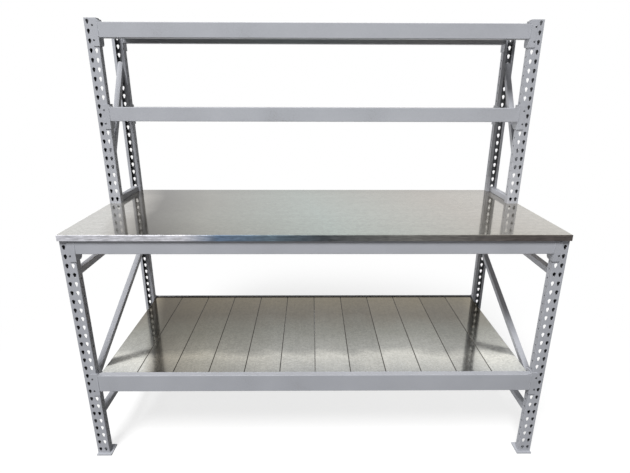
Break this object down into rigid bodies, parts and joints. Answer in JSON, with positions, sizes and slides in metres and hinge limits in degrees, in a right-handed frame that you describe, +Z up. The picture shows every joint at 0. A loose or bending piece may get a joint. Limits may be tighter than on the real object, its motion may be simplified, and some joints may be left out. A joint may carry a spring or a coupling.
{
  "type": "workbench with riser shelf",
  "caption": "Perforated-post packing bench: decked lower shelf, sheet-covered worktop and a two-level riser shelf standing along its rear edge.",
  "frame": {"origin": "on the floor under the middle of the bench", "axes": "+X along the bench to its right as seen from the front, +Y to its rear, +Z up"},
  "size_m": [1.9348, 0.786, 1.8272],
  "materials": {
    "grey_paint": "satin powder coat, light grey with a faint lavender tint",
    "galvanised_sheet": "galvanised sheet, semi-mirror with soft streaks",
    "plated_steel": "dark plated steel, satin",
    "board_core": "pressed wood board, bare"
  },
  "bodies": {
    "frame": {"lower_post_front_left": "grey_paint", "lower_post_front_right": "grey_paint", "lower_post_rear_left": "grey_paint", "lower_post_rear_right": "grey_paint", "riser_post_front_left": "grey_paint", "riser_post_front_right": "grey_paint", "riser_post_rear_left": "grey_paint", "riser_post_rear_right": "grey_paint", "foot_plate_front_left": "grey_paint", "foot_plate_front_right": "grey_paint", "foot_plate_rear_left": "grey_paint", "foot_plate_rear_right": "grey_paint", "lower_shelf_beam_front": "grey_paint", "lower_shelf_beam_rear": "grey_paint", "worktop_beam_front": "grey_paint", "worktop_beam_rear": "grey_paint", "mid_shelf_beam_front": "grey_paint", "mid_shelf_beam_rear": "grey_paint", "top_shelf_beam_front": "grey_paint", "top_shelf_beam_rear": "grey_paint", "lower_shelf_connectors_front": "grey_paint", "lower_shelf_connectors_rear": "grey_paint", "worktop_connectors_front": "grey_paint", "worktop_connectors_rear": "grey_paint", "mid_shelf_connectors_front": "grey_paint", "mid_shelf_connectors_rear": "grey_paint", "top_shelf_connectors_front": "grey_paint", "top_shelf_connectors_rear": "grey_paint", "lower_low_brace_left": "grey_paint", "lower_low_brace_right": "grey_paint", "lower_high_brace_left": "grey_paint", "lower_high_brace_right": "grey_paint", "lower_diagonal_left": "grey_paint", "lower_diagonal_right": "grey_paint", "riser_low_brace_left": "grey_paint", "riser_low_brace_right": "grey_paint", "riser_high_brace_left": "grey_paint", "riser_high_brace_right": "grey_paint", "riser_diagonal_left": "grey_paint", "riser_diagonal_right": "grey_paint", "lower_rivets": "plated_steel", "riser_rivets": "plated_steel", "worktop_skin": "galvanised_sheet", "worktop_board": "board_core"},
    "lower_deck_panel_01_body": {"lower_deck_panel_01": "galvanised_sheet"},
    "lower_deck_panel_02_body": {"lower_deck_panel_02": "galvanised_sheet"},
    "lower_deck_panel_03_body": {"lower_deck_panel_03": "galvanised_sheet"},
    "lower_deck_panel_04_body": {"lower_deck_panel_04": "galvanised_sheet"},
    "lower_deck_panel_05_body": {"lower_deck_panel_05": "galvanised_sheet"},
    "lower_deck_panel_06_body": {"lower_deck_panel_06": "galvanised_sheet"},
    "lower_deck_panel_07_body": {"lower_deck_panel_07": "galvanised_sheet"},
    "lower_deck_panel_08_body": {"lower_deck_panel_08": "galvanised_sheet"},
    "lower_deck_panel_09_body": {"lower_deck_panel_09": "galvanised_sheet"},
    "lower_deck_panel_10_body": {"lower_deck_panel_10": "galvanised_sheet"},
    "lower_deck_panel_11_body": {"lower_deck_panel_11": "galvanised_sheet"},
    "lower_deck_panel_12_body": {"lower_deck_panel_12": "galvanised_sheet"},
    "mid_shelf_deck_body": {"mid_shelf_deck": "galvanised_sheet"},
    "top_shelf_deck_body": {"top_shelf_deck": "galvanised_sheet"}
  },
  "joints": [
    {"name": "lower_deck_panel_01_lift", "type": "slide", "parent": "frame", "child": "lower_deck_panel_01_body", "axis": [0, 0, 1], "range_m": [0, 0.12]},
    {"name": "lower_deck_panel_02_lift", "type": "slide", "parent": "frame", "child": "lower_deck_panel_02_body", "axis": [0, 0, 1], "range_m": [0, 0.12]},
    {"name": "lower_deck_panel_03_lift", "type": "slide", "parent": "frame", "child": "lower_deck_panel_03_body", "axis": [0, 0, 1], "range_m": [0, 0.12]},
    {"name": "lower_deck_panel_04_lift", "type": "slide", "parent": "frame", "child": "lower_deck_panel_04_body", "axis": [0, 0, 1], "range_m": [0, 0.12]},
    {"name": "lower_deck_panel_05_lift", "type": "slide", "parent": "frame", "child": "lower_deck_panel_05_body", "axis": [0, 0, 1], "range_m": [0, 0.12]},
    {"name": "lower_deck_panel_06_lift", "type": "slide", "parent": "frame", "child": "lower_deck_panel_06_body", "axis": [0, 0, 1], "range_m": [0, 0.12]},
    {"name": "lower_deck_panel_07_lift", "type": "slide", "parent": "frame", "child": "lower_deck_panel_07_body", "axis": [0, 0, 1], "range_m": [0, 0.12]},
    {"name": "lower_deck_panel_08_lift", "type": "slide", "parent": "frame", "child": "lower_deck_panel_08_body", "axis": [0, 0, 1], "range_m": [0, 0.12]},
    {"name": "lower_deck_panel_09_lift", "type": "slide", "parent": "frame", "child": "lower_deck_panel_09_body", "axis": [0, 0, 1], "range_m": [0, 0.12]},
    {"name": "lower_deck_panel_10_lift", "type": "slide", "parent": "frame", "child": "lower_deck_panel_10_body", "axis": [0, 0, 1], "range_m": [0, 0.12]},
    {"name": "lower_deck_panel_11_lift", "type": "slide", "parent": "frame", "child": "lower_deck_panel_11_body", "axis": [0, 0, 1], "range_m": [0, 0.12]},
    {"name": "lower_deck_panel_12_lift", "type": "slide", "parent": "frame", "child": "lower_deck_panel_12_body", "axis": [0, 0, 1], "range_m": [0, 0.12]},
    {"name": "mid_shelf_deck_lift", "type": "slide", "parent": "frame", "child": "mid_shelf_deck_body", "axis": [0, 0, 1], "range_m": [0, 0.12]},
    {"name": "top_shelf_deck_lift", "type": "slide", "parent": "frame", "child": "top_shelf_deck_body", "axis": [0, 0, 1], "range_m": [0, 0.12]}
  ]
}
